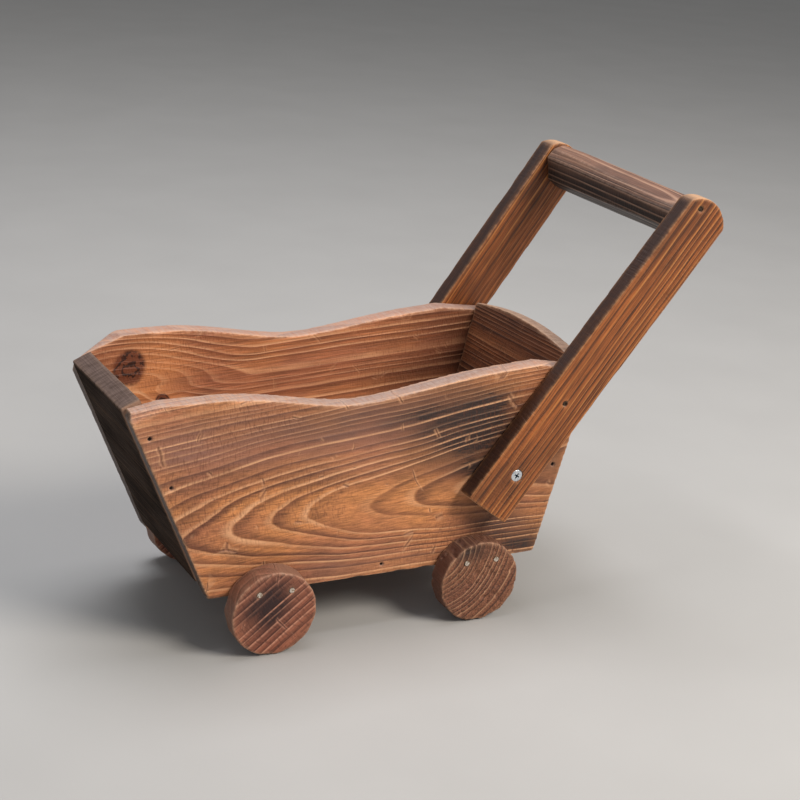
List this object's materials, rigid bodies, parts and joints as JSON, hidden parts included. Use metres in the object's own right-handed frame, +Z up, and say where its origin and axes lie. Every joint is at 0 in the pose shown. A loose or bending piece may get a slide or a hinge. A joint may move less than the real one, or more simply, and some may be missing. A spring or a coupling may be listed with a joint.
{
  "type": "cart-shaped flower planter",
  "caption": "Small wooden tray on fixed disc wheels with a raked push handle, shaped like a hand cart, for holding potted plants.",
  "frame": {"origin": "on the ground, under the middle of the cart's overall length and width", "axes": "+X from the front towards the handle, along the longest side; +Y across, towards the cart's right side; +Z up"},
  "size_m": [0.3692, 0.1704, 0.2606],
  "materials": {
    "side_boards": "scorched pine, orange-brown with charred grain",
    "end_boards": "scorched pine, dark brown",
    "floor": "scorched pine, brown",
    "handle_arms": "scorched pine, red-brown with straight grain",
    "crossbar": "scorched pine, purple-brown, rounded by hand",
    "wheels": "scorched pine end grain, dark red-brown",
    "nails": "dull bright wire",
    "screws": "bright zinc plating"
  },
  "bodies": {
    "root": {"side_board_left": "side_boards", "side_board_right": "side_boards", "front_board": "end_boards", "rear_board": "end_boards", "floor_board": "floor", "handle_arm_left": "handle_arms", "handle_arm_right": "handle_arms", "handle_crossbar": "crossbar", "wheel_front_left": "wheels", "wheel_front_right": "wheels", "wheel_rear_left": "wheels", "wheel_rear_right": "wheels", "front_board_brads_left": "nails", "front_board_brads_right": "nails", "rear_board_brads_left": "nails", "rear_board_brads_right": "nails", "floor_brad_left": "nails", "floor_brad_right": "nails", "handle_nail_left": "nails", "handle_nail_right": "nails", "crossbar_nail_left": "nails", "crossbar_nail_right": "nails", "wheel_nails_front_left": "nails", "wheel_nails_front_right": "nails", "wheel_nails_rear_left": "nails", "wheel_nails_rear_right": "nails", "handle_screw_left": "screws", "handle_screw_right": "screws"}
  },
  "joints": []
}
